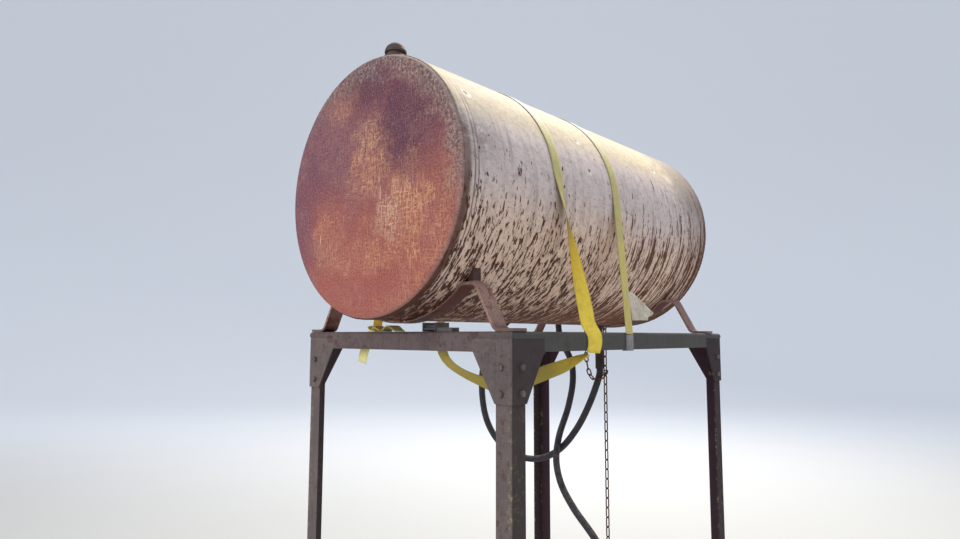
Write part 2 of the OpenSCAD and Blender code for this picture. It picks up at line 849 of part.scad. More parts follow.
// Ring points of one link with its middle at c, its length along u and its width along v
function link_ring(c, u, v) =
    let (w = cross(u, v), bend = (chain_w - chain_wire) / 2, half = chain_pitch / 2 + chain_wire / 2 - bend)
    [for (end = [1, -1]) for (a = [-90, -30, 30, 90])
        let (out = end * cos(a) * u + end * sin(a) * v, m = c + end * half * u + bend * out)
        for (k = [0 : 5])
            m + chain_wire / 2 * (cos(60 * k) * out + sin(60 * k) * w)];
link_faces = [for (i = [0 : 7]) for (k = [0 : 5])
    let (a = 6 * i + k, b = 6 * i + (k + 1) % 6, c = 6 * ((i + 1) % 8) + (k + 1) % 6, d = 6 * ((i + 1) % 8) + k)
    [a, d, c, b]];

// Draws links, each given as its middle, its length direction and its width direction
module links(list) {
    points = [for (l = list) for (p = link_ring(l[0], l[1], l[2])) p];
    faces = [for (i = [0 : len(list) - 1]) for (f = link_faces) [for (n = f) n + 48 * i]];
    polyhedron(points = points, faces = faces, convexity = 10);
}

module hanging_chain() {
    down = [0, 0, -1];
    first = [cos(13.5), -sin(13.5), 0];
    color(stand_dark)
    links([for (i = [0 : chain_links - 1])
        [[chain_x, chain_y, chain_top - i * chain_step], down, i % 2 == 0 ? first : cross(down, first)]]);
}

module chain_sling() {
    step = path_len(sling_route) / sling_links;
    color(stand_dark)
    links([for (i = [0 : sling_links - 1])
        let (u = unit(along(sling_route, (i + 1) * step) - along(sling_route, i * step)))
        let (v = square_to([-0.52, 0.85, 0], u))
        [along(sling_route, (i + 0.5) * step), u, (sling_links - i) % 2 == 1 ? v : cross(u, v)]]);
}

// Eyes under the rear saddle that hold the chain
module chain_eyes() {
    color(stand_grey)
    for (y = [chain_y, sling_y])
        difference() {
            translate([chain_x, y, eye_r + (y == chain_y ? eye_low : sling_low)])
                rotate([90, 0, y == chain_y ? 76.5 : 121.5])
                    rotate_extrude($fn = fine_fn)
                        translate([eye_r, 0])
                            circle(d = eye_wire, $fn = fine_fn);
            translate([saddle_span / 2, 0, axis_z])
                rotate([0, 90, 0])
                    cylinder(h = 2 * saddle_w, r = seat_r + saddle_t, center = true, $fn = big_fn);
        }
}

// Hose

// Route of the fuel hose: out of the coupling, down and under the left rail, up outside it,
// over the rail and the rear saddle, down inside the stand and along the ground
hose_route = [
    [600, 0, 1348.6], [600, 0, 1330], [596, 7, 1296], [580, 51, 1173], [581, 129, 1044],
    [583, 231, 935], [571, 329, 879], [546, 414, 867], [506, 489, 892], [463, 544, 949],
    [426, 587, 1040], [403, 606, 1156], [400, 607, 1318], [427, 586, 1445], [480, 544, 1550],
    [552, 483, 1633], [640, 415, 1702], [682, 392, 1717], [722, 379, 1709], [752, 370, 1678],
    [760, 364, 1632], [746, 353, 1574], [724, 329, 1519], [711, 290, 1456], [700, 237, 1370],
    [678, 215, 1273], [641, 219, 1146], [569, 230, 996], [506, 203, 891], [455, 140, 795],
    [421, 45, 701], [403, -81, 592], [398, -177, 469], [398, -235, 331], [405, -251, 195],
    [427, -235, 104], [456, -209, 58], [494, -173, 30], [561, -115, 17], [670, -40, 17]
];
hose_sides = 10;

// A normal carried along the route, so that the tube does not twist
function carried(path, i, n) =
    let (d = route_dir(path, i), m = n - (n * d) * d)
    unit(m);
function normals(path, i = 0, n = [0, 1, 0]) =
    i == len(path) ? [] :
    let (m = carried(path, i, n))
    concat([m], normals(path, i + 1, m));

// A tube of the given diameter swept along a route
module tube(path, d, sides) {
    ns = normals(path);
    rings = [for (i = [0 : len(path) - 1])
        let (u = ns[i], w = cross(route_dir(path, i), u))
        for (k = [0 : sides - 1])
            path[i] + d / 2 * (u * cos(360 * k / sides) + w * sin(360 * k / sides))];
    last = len(path) - 1;
    walls = [for (i = [0 : last - 1]) for (k = [0 : sides - 1])
        let (a = i * sides + k, b = i * sides + (k + 1) % sides)
        [a, b, b + sides, a + sides]];
    caps = [[for (k = [sides - 1 : -1 : 0]) k], [for (k = [0 : sides - 1]) last * sides + k]];
    polyhedron(points = rings, faces = concat(walls, caps), convexity = 10);
}

module hose() {
    color(black)
    tube(hose_route, hose_d, hose_sides);
}

// Plain fuel nozzle that lies on its side on the ground at the hose's end: swivel, body,
// bent spout, and a hand lever inside its guard
module nozzle() {
    tip = hose_route[len(hose_route) - 1];
    run = tip - hose_route[len(hose_route) - 2];
    spout_x = nozzle_len - 6;
    color(grey)
    translate([tip[0], tip[1], nozzle_d / 2 + seat])
        rotate([0, 0, atan2(run[1], run[0])])
            translate([seat, 0, 0]) {
                rotate([0, 90, 0]) {
                    cylinder(h = 24, d = 0.86 * nozzle_d, $fn = 8);
                    translate([0, 0, 20])
                        cylinder(h = nozzle_len - 34, d = 0.9 * nozzle_d, $fn = fine_fn);
                    translate([0, 0, nozzle_len - 40])
                        cylinder(h = 40, d = nozzle_d, $fn = fine_fn);
                }
                translate([spout_x, 0, 0])
                    rotate([0, 90, 12])
                        cylinder(h = spout_len, d = spout_d, $fn = fine_fn);
                // guard
                linear_extrude(height = guard_t, center = true)
                    difference() {
                        polygon([[22, 0], [30, -62], [46, -72], [nozzle_len - 24, -58], [nozzle_len - 10, 0]]);
                        polygon([[32, 5], [39, -56], [48, -63], [nozzle_len - 31, -51], [nozzle_len - 20, 5]]);
                    }
                // lever
                linear_extrude(height = lever_t, center = true)
                    polygon([[nozzle_len - 32, -4], [nozzle_len - 34, -28], [50, -44], [49, -38],
                             [nozzle_len - 42, -23], [nozzle_len - 40, -4]]);
            }
}

tank_shell();
front_head();
rear_head();
fill_neck();
vent_cap();
outlet_neck();
hose_coupling();
front_saddle();
rear_saddle();
front_lugs();
front_rail();
rear_rail();
left_rail();
right_rail();
gusset(front, left);  // gusset_front_left
gusset(front, right);  // gusset_front_right
gusset(rear, left);  // gusset_rear_left
gusset(rear, right);  // gusset_rear_right
leg(front, left);  // leg_front_left
leg(front, right);  // leg_front_right
leg(rear, left);  // leg_rear_left
leg(rear, right);  // leg_rear_right
foot(front, left);  // foot_front_left
foot(front, right);  // foot_front_right
foot(rear, left);  // foot_rear_left
foot(rear, right);  // foot_rear_right
bolts(front, left);  // bolts_front_left
bolts(front, right);  // bolts_front_right
bolts(rear, left);  // bolts_rear_left
bolts(rear, right);  // bolts_rear_right
front_strap();
rear_strap();
strap_hooks();
strap_tail();
ratchet();
ratchet_handle();
strap_bundle();
chain_eyes();
hanging_chain();
chain_sling();
hose();
nozzle();
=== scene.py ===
import json
import math

import bpy
from mathutils import Matrix, Vector
from mathutils import noise as hash_noise


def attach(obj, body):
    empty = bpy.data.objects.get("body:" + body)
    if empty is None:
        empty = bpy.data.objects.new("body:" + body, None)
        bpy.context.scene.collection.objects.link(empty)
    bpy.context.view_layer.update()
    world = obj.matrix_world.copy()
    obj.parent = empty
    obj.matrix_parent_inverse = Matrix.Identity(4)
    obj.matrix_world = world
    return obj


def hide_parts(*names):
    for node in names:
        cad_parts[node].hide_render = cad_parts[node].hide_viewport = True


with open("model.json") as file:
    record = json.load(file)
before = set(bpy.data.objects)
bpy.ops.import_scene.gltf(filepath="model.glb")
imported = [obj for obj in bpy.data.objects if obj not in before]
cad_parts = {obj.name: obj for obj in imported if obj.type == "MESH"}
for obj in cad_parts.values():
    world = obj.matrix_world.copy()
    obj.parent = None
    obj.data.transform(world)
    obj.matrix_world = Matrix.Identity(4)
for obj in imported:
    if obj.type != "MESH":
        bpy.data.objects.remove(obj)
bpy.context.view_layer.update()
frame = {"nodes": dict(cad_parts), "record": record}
nodes = frame["nodes"]

# Sizes that the part's source gives, in metres
TANK_R = 0.4572
AXIS_Z = 2.0204
SHELL_END = 0.852      # from the tank's middle to the end of the shell plate, short of the heads' faces
STAND_H = 1.524        # the rails' top
STAND_HALF_LEN = 0.770
STAND_HALF_W = 0.5305
STAND_SHIFT = 0.039    # from the tank's middle to the stand's, towards the rear
ANGLE_W = 0.0635
ANGLE_T = 0.00635
SADDLE_X = 0.691
SADDLE_W = 0.0635
HOSE_D = 0.033
STRAP_W = 0.0508
STRAP_T = 0.0024
STRAP_GAP = 0.0005
MM = 0.001

# The way that the camera looks, over the ground
VIEW_WAY = (0.740, 0.6726)

# The camera stands at eye height, out from the corner between the front head and the right side
camera_data = bpy.data.cameras.new("camera")
camera_data.lens = 24.485
camera_data.sensor_width = 36
camera_data.clip_end = 200
camera = bpy.data.objects.new("camera", camera_data)
bpy.context.scene.collection.objects.link(camera)
camera.matrix_world = Matrix((
    (0.67240, -0.07627, -0.73625, -2.2377),
    (-0.74019, -0.06604, -0.66915, -1.7701),
    (0.00241, 0.99490, -0.10086, 1.5107),
    (0, 0, 0, 1),
))
bpy.context.scene.camera = camera


def paint(red, green, blue):
    """A colour as seen on screen, 0 to 255, in the linear values that Blender uses."""
    shares = (red / 255, green / 255, blue / 255)
    return tuple(v / 12.92 if v <= 0.04045 else ((v + 0.055) / 1.055) ** 2.4 for v in shares) + (1,)


class Look:
    """A procedural material, built node by node from the place on the part in metres.

    Tones are given as seen on screen, 0 to 255. Tones laid one over another make up its colour."""

    def __init__(self, name, metallic=0.0, specular=0.3, flow=False):
        self.material = bpy.data.materials.new(name)
        self.material.use_nodes = True
        self.tree = self.material.node_tree
        self.tree.nodes.clear()
        self.shader = self.node("ShaderNodeBsdfPrincipled")
        self.shader.inputs["Metallic"].default_value = metallic
        self.shader.inputs["Specular IOR Level"].default_value = specular
        out = self.node("ShaderNodeOutputMaterial")
        self.join(self.shader.outputs[0], out.inputs[0])
        self.place = self.node("ShaderNodeTexCoord").outputs["Object"]
        if flow:
            along = self.node("ShaderNodeAttribute")
            along.attribute_name = "flow"
            self.flow = along.outputs["Vector"]
            self.along, self.across, _ = self.split(self.flow)
        self.x, self.y, self.z = self.split(self.place)
        self.colour = None

    def node(self, kind, **settings):
        made = self.tree.nodes.new(kind)
        for key, value in settings.items():
            setattr(made, key, value)
        return made

    def join(self, source, target):
        self.tree.links.new(source, target)

    def feed(self, target, value):
        if isinstance(value, bpy.types.NodeSocket):
            self.join(value, target)
        else:
            target.default_value = value

    def split(self, vector):
        parts = self.node("ShaderNodeSeparateXYZ")
        self.join(vector, parts.inputs[0])
        return parts.outputs[0], parts.outputs[1], parts.outputs[2]

    def vector(self, x, y, z):
        made = self.node("ShaderNodeCombineXYZ")
        for socket, value in zip(made.inputs, (x, y, z)):
            self.feed(socket, value)
        return made.outputs[0]

    def math(self, operation, a, b=0.0):
        made = self.node("ShaderNodeMath", operation=operation)
        self.feed(made.inputs[0], a)
        self.feed(made.inputs[1], b)
        return made.outputs[0]

    def add(self, a, b):
        return self.math("ADD", a, b)

    def less(self, a, b):
        return self.math("SUBTRACT", a, b)

    def times(self, a, b):
        return self.math("MULTIPLY", a, b)

    def larger(self, a, b):
        return self.math("MAXIMUM", a, b)

    def flip(self, a):
        return self.math("SUBTRACT", 1.0, a)

    def stretch(self, at, scale):
        made = self.node("ShaderNodeMapping")
        self.join(at, made.inputs["Vector"])
        made.inputs["Scale"].default_value = scale
        return made.outputs[0]

    def noise(self, scale, detail=3.0, rough=0.5, at=None, twist=0.0):
        made = self.node("ShaderNodeTexNoise")
        self.join(at or self.place, made.inputs["Vector"])
        made.inputs["Scale"].default_value = scale
        made.inputs["Detail"].default_value = detail
        made.inputs["Roughness"].default_value = rough
        made.inputs["Distortion"].default_value = twist
        return made.outputs[0]

    def ragged(self, value, noise, swing):
        """The value moved up and down by a noise, so that what it bounds gets a torn edge."""
        return self.add(value, self.times(self.less(noise, 0.5), swing))

    def rise(self, value, low, high):
        """0 below low, 1 above high, smooth between."""
        made = self.node("ShaderNodeMapRange", interpolation_type="SMOOTHSTEP")
        self.feed(made.inputs[0], value)
        self.feed(made.inputs[1], low)
        self.feed(made.inputs[2], high)
        return made.outputs[0]

    def curve(self, value, *stops):
        """A number that follows the stops, given as (value, result) pairs, straight between them."""
        result = stops[0][1]
        for (v0, r0), (v1, r1) in zip(stops, stops[1:]):
            made = self.node("ShaderNodeMapRange")
            self.feed(made.inputs[0], value)
            made.inputs[1].default_value = v0
            made.inputs[2].default_value = v1
            made.inputs[3].default_value = 0.0
            made.inputs[4].default_value = r1 - r0
            result = self.add(result, made.outputs[0])
        return result

    def hill(self, value, middle, half):
        """1 at the middle, 0 from half away on either side."""
        return self.flip(self.rise(self.math("ABSOLUTE", self.less(value, middle)), 0.0, half))

    def blend(self, amount, a, b):
        made = self.node("ShaderNodeMix", data_type="RGBA")
        self.feed(made.inputs[0], amount)
        for socket, tone in ((made.inputs[6], a), (made.inputs[7], b)):
            self.feed(socket, paint(*tone) if isinstance(tone, tuple) else tone)
        return made.outputs[2]

    def lay(self, amount, tone, share=None):
        """Lay a tone over the colour so far where amount is 1, at the share given."""
        if share is not None:
            amount = self.times(amount, share)
        self.colour = self.blend(amount, self.colour, tone)

    def spot(self, centre, radius, soft=0.5):
        """1 within the radius of a point on the part, with a ragged edge."""
        away = self.node("ShaderNodeVectorMath", operation="DISTANCE")
        self.join(self.place, away.inputs[0])
        away.inputs[1].default_value = centre
        torn = self.ragged(away.outputs["Value"], self.noise(60, 3), 1.3 * radius)
        return self.flip(self.rise(torn, radius * (1 - soft), radius))

    def bump(self, height, strength, distance, over=None):
        made = self.node("ShaderNodeBump")
        made.inputs["Strength"].default_value = strength
        made.inputs["Distance"].default_value = distance
        self.join(height, made.inputs["Height"])
        if over is not None:
            self.join(over, made.inputs["Normal"])
        return made.outputs[0]

    def done(self, rough, normal=None):
        self.join(self.colour, self.shader.inputs["Base Color"])
        self.feed(self.shader.inputs["Roughness"], rough)
        if normal is not None:
            self.join(normal, self.shader.inputs["Normal"])
        return self.material


def shell_look():
    """Old pale paint on the shell, cream on top, with dark rust that grows into long streaks downward. The
    cream top is partly painted sunlight, the rear end has painted shadow and the lower side painted bounce
    light.
    """
    m = Look("shell_paint", specular=0.2)
    up = m.times(m.less(m.z, AXIS_Z), 1 / TANK_R)
    turn = m.math("ARCTAN2", m.y, m.less(m.z, AXIS_Z))
    round_way = m.times(turn, TANK_R)
    flat = m.vector(m.x, round_way, 0.0)
    broad = m.noise(3.2, 4, 0.55, flat)
    mottle = m.noise(26, 5, 0.6, flat)
    blotch = m.noise(64, 5, 0.7, flat)
    grain = m.noise(230, 3, 0.65, flat)

    # Paint: cream on the top and soiled at its crown, mauve grey on the side, pinkish again below. The cream
    # top against the mauve grey side is partly painted sunlight and shade, split by a ragged painted shadow
    # edge, and the pinkish paint below is painted bounce light from the ground
    side = m.rise(m.ragged(up, broad, 0.2), 0.30, 0.56)
    m.colour = m.blend(side, (224, 207, 202), (212, 195, 163))
    crown = m.times(m.rise(up, 0.58, 0.84), m.curve(m.x, (-0.6, 0.95), (0.6, 0.55)))
    nearer = m.curve(m.x, (-0.8, 0.65), (-0.5, 0.5), (-0.25, 0.1), (0.5, 0.0))
    nearer = m.times(m.rise(up, 0.34, 0.56), nearer)
    m.lay(m.larger(crown, nearer), (172, 155, 126))
    soiled = m.times(m.rise(up, 0.74, 0.93), m.add(0.4, m.times(m.rise(mottle, 0.36, 0.62), 0.45)))
    m.lay(soiled, (136, 121, 100))
    # Painted bounce light: the lower side made paler and pinker
    low = m.flip(m.rise(m.ragged(up, broad, 0.3), -0.42, 0.06))
    m.lay(low, (243, 210, 188))
    bottom = m.flip(m.rise(up, -0.98, -0.72))
    m.lay(bottom, (146, 96, 78), 0.8)
    # Painted shadow over the rear end of the shell: a brownish grey towards the end, and a grey from x 0.46
    # over its upper part, both with ragged edges
    rear = m.rise(m.ragged(m.x, mottle, 0.1), 0.55, 0.83)
    m.lay(rear, (140, 120, 110), 0.6)
    rear_painted_shadow = m.ragged(m.x, mottle, 0.35)
    rear_painted_shadow = m.times(m.rise(rear_painted_shadow, 0.46, 0.72), m.rise(up, 0.0, 0.32))
    m.lay(rear_painted_shadow, (118, 110, 106), 0.6)
    m.lay(m.rise(mottle, 0.42, 0.7), (160, 142, 132), 0.34)
    m.lay(m.rise(blotch, 0.52, 0.68), (142, 122, 110), 0.42)
    m.lay(m.flip(m.rise(blotch, 0.34, 0.46)), (238, 226, 206), 0.3)
    m.lay(m.rise(grain, 0.5, 0.66), (128, 110, 100), 0.3)

    # Dark dirt on the shoulder behind the front head and a thin wash down the side
    near = m.flip(m.rise(m.ragged(m.x, mottle, 0.2), -0.80, -0.60))
    shoulder = m.times(near, m.hill(m.ragged(up, broad, 0.3), 0.27, 0.30))
    dirt = m.times(shoulder, m.rise(m.noise(30, 5, 0.7, flat), 0.30, 0.56))
    m.lay(dirt, (100, 92, 88), 0.58)
    washed = m.noise(1, 4, 0.6, m.stretch(flat, (34, 3.0, 1)))
    m.lay(m.times(m.rise(washed, 0.48, 0.72), m.times(m.flip(side), 0.45)), (142, 124, 118))

    # Rust: specks near the equator, blobs and drips further down, long close lines towards the rear
    drips = m.noise(1, 3.0, 0.6, m.stretch(flat, (74, 21, 1)))
    lines = m.noise(1, 3.0, 0.55, m.stretch(flat, (62, 5.0, 1)))
    thin = m.noise(1, 3.0, 0.6, m.stretch(flat, (150, 36, 1)))
    far = m.rise(m.x, -0.45, 0.5)
    field = m.add(m.times(drips, m.less(0.60, m.times(far, 0.44))),
                  m.times(lines, m.add(0.08, m.times(far, 0.50))))
    field = m.add(field, m.times(thin, m.less(0.32, m.times(far, 0.06))))
    field = m.ragged(field, m.noise(1, 3, 0.5, m.stretch(flat, (24, 2.2, 1))), 0.13)
    field = m.add(field, m.times(m.times(m.hill(m.x, -0.57, 0.13), m.hill(up, 0.08, 0.14)), 0.06))
    field = m.ragged(field, broad, 0.10)
    field = m.add(field, m.curve(m.x, (-0.2, 0.0), (0.2, 0.018), (0.5, 0.024), (0.84, 0.05)))
    needed = m.curve(up, (-1.0, 0.455), (-0.78, 0.508), (-0.5, 0.527), (-0.33, 0.536), (-0.2, 0.560),
                     (-0.05, 0.584), (0.15, 0.602), (0.40, 0.635), (0.55, 0.68), (0.76, 0.70),
                     (0.92, 0.640), (1.0, 0.630))
    rust = m.rise(m.less(field, needed), -0.004, 0.012)
    rust_tone = m.blend(m.rise(m.noise(70, 3, 0.5, flat), 0.35, 0.65), (54, 30, 23), (94, 54, 38))
    rust_tone = m.blend(m.times(far, 0.4), rust_tone, (118, 72, 50))
    halo = m.rise(m.less(field, needed), -0.035, 0.008)
    m.lay(halo, (168, 124, 102), 0.33)
    m.lay(rust, rust_tone, 0.94)

    # Knocks where the paint is gone: a dark pit in a pale ragged ring
    for centre, size in (((-0.767, -0.375, 2.282), 0.017), ((-0.165, -0.392, 2.256), 0.013),
                         ((-0.158, -0.444, 2.131), 0.012), ((0.456, -0.389, 2.261), 0.014)):
        m.lay(m.spot(centre, size * 1.6, 0.6), (236, 226, 210), 0.75)
        pit = (centre[0] - 0.004, centre[1], centre[2] + 0.006)
        m.lay(m.spot(pit, size * 0.75, 0.4), (84, 66, 58), 0.85)
    m.lay(m.spot((0.578, -0.401, 2.239), 0.05, 0.8), (226, 214, 192), 0.5)

    # Rusty band and grooves round both ends where the head's flange is welded in
    end = m.less(SHELL_END, m.math("ABSOLUTE", m.x))
    ragged = m.ragged(end, mottle, 0.02)
    band = m.flip(m.rise(ragged, 0.012, 0.030))
    lower = m.curve(up, (-1.0, 1.0), (-0.1, 0.85), (0.45, 0.3), (1.0, 0.2))
    m.lay(m.times(band, lower), (92, 57, 46))
    groove = m.larger(m.hill(end, 0.038, 0.006), m.hill(end, 0.054, 0.005))
    m.lay(m.times(groove, m.times(lower, 0.85)), (78, 52, 44))
    height = m.add(m.times(rust, -0.5), m.times(mottle, 0.35))
    height = m.add(height, m.times(groove, -1.2))
    normal = m.bump(m.add(height, m.times(blotch, 0.4)), 0.4, 0.0015)
    normal = m.bump(m.noise(2.2, 2, 0.5, flat), 0.25, 0.012, normal)
    return m.done(m.add(m.times(rust, 0.12), m.add(0.66, m.times(mottle, 0.18))), normal)


def head_look():
    """Bare rusty head: violet above, red below, with pale brushed fields and fine speckle."""
    m = Look("rusty_steel", specular=0.25)
    high = m.times(m.less(m.z, AXIS_Z), 1 / TANK_R)
    wide = m.times(m.y, 1 / TANK_R)
    reach = m.math("SQRT", m.add(m.times(high, high), m.times(wide, wide)))
    face = m.vector(0.0, m.y, m.z)
    broad = m.noise(4.2, 4, 0.55, face, 0.6)
    patch = m.noise(15, 5, 0.65, face)
    fleck = m.noise(82, 5, 0.85, face)
    speckle = m.noise(150, 4, 0.8, face)
    brushed = m.noise(1, 4, 0.7, m.stretch(face, (1, 150, 20)))
    brushed_flat = m.noise(1, 4, 0.7, m.stretch(face, (1, 22, 140)))

    def area(w, h, half_w, half_h, ragged=0.9):
        """1 in the middle of an oval place on the head, 0 outside, with a torn edge."""
        across = m.times(m.less(wide, w), 1 / half_w)
        upward = m.times(m.less(high, h), 1 / half_h)
        away = m.math("SQRT", m.add(m.times(across, across), m.times(upward, upward)))
        return m.flip(m.rise(m.ragged(away, patch, ragged * 2), 0.30, 1.05))

    level = m.ragged(high, broad, 0.9)
    m.colour = m.blend(m.rise(level, -0.75, 0.45), (166, 92, 82), (132, 82, 88))
    m.lay(m.rise(m.ragged(wide, broad, 0.5), 0.45, 0.95), (100, 70, 94), 0.75)
    violet = m.larger(area(-0.42, 0.42, 0.55, 0.55, 0.5), area(-0.02, 0.78, 0.42, 0.26, 0.5))
    m.lay(violet, (88, 54, 74), 0.9)
    m.lay(area(0.5, 0.42, 0.6, 0.6, 0.6), (112, 74, 90), 0.6)
    m.lay(area(-0.72, -0.2, 0.3, 0.6, 0.6), (156, 84, 70), 0.4)

    # Pale fields where the skin is rubbed: brushed both ways, broken up by flecks
    pale = m.larger(m.times(area(-0.02, 0.20, 0.32, 0.42), 0.85), area(-0.42, -0.26, 0.50, 0.48))
    pale = m.larger(pale, m.times(m.larger(area(0.46, -0.34, 0.30, 0.36), area(0.06, -0.52, 0.5, 0.2)), 0.6))
    pale = m.larger(pale, m.times(area(0.34, 0.70, 0.30, 0.22), 0.4))
    pale = m.larger(pale, m.times(m.hill(m.ragged(reach, patch, 0.5), 0.93, 0.16),
                                   m.curve(wide, (-0.9, 0.6), (0.0, 0.1))))
    grain = m.larger(m.rise(brushed, 0.45, 0.59), m.rise(brushed_flat, 0.47, 0.61))
    flecks = m.times(grain, m.rise(fleck, 0.38, 0.53))
    pale = m.times(pale, m.add(0.45, m.times(m.rise(m.noise(9, 4, 0.6, face), 0.40, 0.60), 0.55)))
    m.lay(pale, (184, 112, 82), 0.30)
    m.lay(m.times(pale, flecks), (236, 178, 128), 0.95)
    whitish = m.larger(area(-0.26, -0.26, 0.2, 0.26), m.times(area(0.04, 0.36, 0.2, 0.2), 0.4))
    m.lay(m.times(whitish, flecks), (218, 192, 166), 0.55)
    m.lay(m.times(pale, m.flip(m.rise(fleck, 0.34, 0.47))), (118, 58, 46), 0.42)

    # Speckle everywhere: dark pits, tan flecks and faint scratches both ways
    m.lay(m.rise(speckle, 0.52, 0.62), (198, 138, 122), 0.46)
    m.lay(m.flip(m.rise(speckle, 0.38, 0.48)), (84, 46, 48), 0.62)
    m.lay(m.rise(m.noise(58, 5, 0.75, face), 0.50, 0.66), (176, 106, 88), 0.24)
    m.lay(m.times(grain, m.rise(broad, 0.4, 0.62)), (210, 160, 140), 0.18)

    # Grey weathering round the upper rim, mostly on the tank's right, and a pale edge that is palest at the
    # top: worn, and partly a painted highlight where the rounded rim catches the light
    rim = m.rise(m.ragged(reach, patch, 0.5), 0.76, 0.98)
    top_rim = m.times(rim, m.rise(m.less(high, m.times(wide, 0.5)), 0.0, 0.75))
    m.lay(top_rim, (92, 76, 76), 0.6)
    m.lay(m.times(top_rim, m.rise(fleck, 0.46, 0.60)), (182, 164, 154), 0.8)
    m.lay(m.times(top_rim, m.flip(m.rise(fleck, 0.34, 0.46))), (70, 60, 58), 0.6)
    # Pale edge round the head: wear and a painted highlight, stronger towards the top
    edge = m.rise(reach, 0.972, 0.986)
    m.lay(m.times(edge, m.curve(high, (-1.0, 0.3), (0.2, 0.35), (0.8, 0.75))), (176, 154, 144))

    # Two bright vertical scratches
    for y, low_z, high_z in ((-0.0735, 1.962, 2.014), (0.267, 1.841, 1.879)):
        line = m.times(m.hill(m.y, y, 0.0030), m.times(m.rise(m.z, low_z, low_z + 0.004),
                                                        m.flip(m.rise(m.z, high_z - 0.004, high_z))))
        m.lay(line, (236, 196, 166), 0.9)
    normal = m.bump(m.add(m.times(fleck, 0.6), m.times(patch, 1.0)), 0.4, 0.0014)
    normal = m.bump(m.noise(3.0, 2, 0.5, face), 0.2, 0.01, normal)
    return m.done(m.add(0.62, m.times(speckle, 0.3)), normal)


def iron_look(name, base, pale, rust, dark, rust_share, lichen=None, under=None, metallic=0.0,
              scale=1.0, sides=None, stains=(), corner=None):
    """Weathered steel: worn paint, rust in patches, pits, and streaks down upright faces.

    sides is painted shade: a darker tone on the faces toward -Y, with its share. stains gives tones that set
    in along
    one axis: (axis number, from, to, tone, share). corner is the tone of the lichen that follows the
    legs' outer corners, and under that of the faces that look down."""
    m = Look(name, metallic=metallic, specular=0.2)
    broad = m.noise(5.5 * scale, 4, 0.6)
    patch = m.noise(24 * scale, 5, 0.65)
    grain = m.noise(340 * scale, 3, 0.6)
    streak = m.noise(1, 4, 0.6, m.stretch(m.place, (70 * scale, 70 * scale, 7 * scale)))
    m.colour = m.blend(m.rise(broad, 0.36, 0.64), base, pale)
    mixed = m.add(m.times(broad, 0.35), m.times(patch, 0.65))
    eaten = m.rise(mixed, 1.0 - rust_share - 0.035, 1.0 - rust_share + 0.05)
    m.lay(eaten, rust, 0.85)
    m.lay(m.rise(streak, 0.52, 0.7), rust, 0.4)
    m.lay(m.rise(m.noise(95 * scale, 4, 0.6), 0.54, 0.68), dark, 0.55)
    m.lay(m.rise(grain, 0.5, 0.68), pale, 0.3)
    m.lay(m.flip(m.rise(grain, 0.32, 0.46)), dark, 0.35)
    if lichen is not None:
        spots = m.rise(m.less(m.noise(55, 4, 0.7), m.times(broad, 0.2)), 0.47, 0.53)
        m.lay(spots, lichen, 0.65)
    facing = m.split(m.node("ShaderNodeNewGeometry").outputs["Normal"])
    for axis, start, end, tone, share in stains:
        ragged = m.ragged((m.x, m.y, m.z)[axis], patch, 0.4 * abs(end - start))
        inside = m.rise(ragged, start, end) if start < end else m.flip(m.rise(ragged, end, start))
        m.lay(inside, tone, share)
    if corner is not None:
        outer = m.rise(m.math("ABSOLUTE", m.y), 0.494, 0.530)
        crust = m.ragged(m.noise(62, 5, 0.75), m.noise(6, 2, 0.5), 0.25)
        crust = m.rise(crust, 0.545, 0.60)
        crust = m.times(m.times(outer, crust), m.flip(m.rise(m.z, 1.15, 1.42)))
        m.lay(crust, corner, 0.8)
    # Painted shade: the faces toward -Y made darker by the sides tone
    if sides is not None:
        m.lay(m.flip(m.rise(facing[1], -0.9, -0.5)), *sides)
    if under is not None:
        m.lay(m.flip(m.rise(facing[2], -0.75, -0.15)), under, 0.85)
    height = m.add(m.times(patch, 1.0), m.add(m.times(grain, 0.35), m.times(eaten, -0.4)))
    return m.done(m.add(0.55, m.times(patch, 0.35)), m.bump(height, 0.4, 0.0012))


def webbing_look(name, bright, dull, faded, dirt):
    """Polyester webbing: fine weave along and across, ribbed edges, faded higher up, soiled in patches; the
    bright tone low down is partly painted sunlight.
    """
    m = Look(name, specular=0.25, flow=True)
    weft = m.math("SINE", m.times(m.along, 2 * math.pi / 0.0021))
    warp = m.math("SINE", m.times(m.across, 2 * math.pi / 0.0017))
    twill = m.math("SINE", m.times(m.add(m.along, m.math("ABSOLUTE", m.across)), 2 * math.pi / 0.0046))
    broad = m.noise(7, 3, 0.5)
    patch = m.noise(38, 4, 0.6)
    lift = m.ragged(m.z, broad, 0.12)
    older = m.rise(m.x, -0.22, -0.12)
    # Bright yellow low down, duller higher up and on the rear strap: the bright tone is partly painted
    # sunlight
    m.colour = m.blend(m.larger(m.rise(lift, 1.80, 1.92), m.times(older, 0.75)), bright, dull)
    m.lay(m.rise(lift, 2.16, 2.42), faded)
    m.lay(m.rise(m.z, 2.38, 2.46), dirt, 0.6)
    slack = m.times(m.flip(m.rise(m.x, -0.42, -0.34)), m.times(m.flip(m.rise(m.y, -0.14, -0.05)), 0.7))
    m.lay(m.times(m.flip(m.rise(m.z, 1.478, 1.496)), slack), dirt)
    m.lay(m.rise(patch, 0.45, 0.7), dirt, 0.18)
    m.lay(m.rise(m.noise(160, 3, 0.6), 0.54, 0.7), dirt, 0.16)
    m.lay(m.rise(twill, 0.1, 0.9), dirt, 0.10)
    hem = m.rise(m.math("ABSOLUTE", m.across), 0.0222, 0.0236)
    m.lay(hem, dirt, 0.3)
    height = m.add(m.times(weft, 0.5), m.add(m.times(warp, 0.5), m.times(twill, 0.8)))
    normal = m.bump(height, 0.35, 0.0004)
    return m.done(0.72, m.bump(m.math("ABSOLUTE", m.across), 0.1, 0.004, normal))


